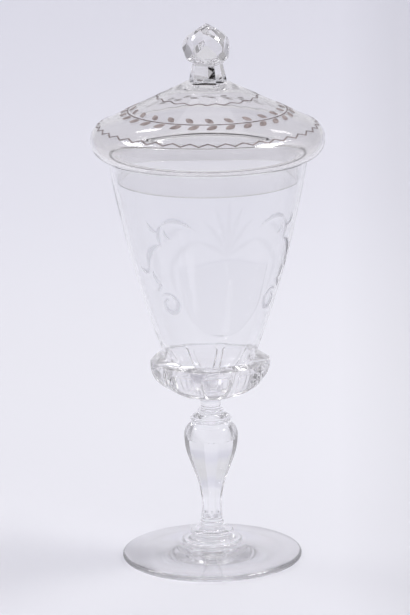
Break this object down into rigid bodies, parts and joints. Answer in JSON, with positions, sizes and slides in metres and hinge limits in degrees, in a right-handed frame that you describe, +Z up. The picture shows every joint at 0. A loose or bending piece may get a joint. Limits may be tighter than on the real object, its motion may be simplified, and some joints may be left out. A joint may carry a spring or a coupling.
{
  "type": "covered goblet",
  "caption": "Covered glass goblet: conical bowl in a cut calyx on a faceted baluster stem and disc foot, with a loose domed cover, rolled rim and cut finial.",
  "frame": {"origin": "middle of the flat ring under the foot, on the surface that the goblet stands on", "axes": "+Z up along the goblet's axis; -Y is the front, with the engraved shield"},
  "size_m": [0.128, 0.128, 0.3001],
  "materials": {
    "clear_glass": "blown clear glass, fire-polished, faint grey-lilac tint",
    "cut_glass": "clear glass with cut and polished facets",
    "gilding": "thin fired gilding, worn and browned"
  },
  "bodies": {
    "goblet": {"foot": "clear_glass", "foot_button": "clear_glass", "lower_collar": "clear_glass", "stem": "cut_glass", "merese": "clear_glass", "neck_collar": "clear_glass", "calyx": "cut_glass", "bowl": "clear_glass"},
    "lid": {"cover": "clear_glass", "finial_neck": "cut_glass", "finial_knob": "cut_glass"}
  },
  "joints": [
    {"name": "cover_lift", "type": "slide", "parent": "goblet", "child": "lid", "axis": [0, 0, 1], "range_m": [0, 0.1]}
  ]
}
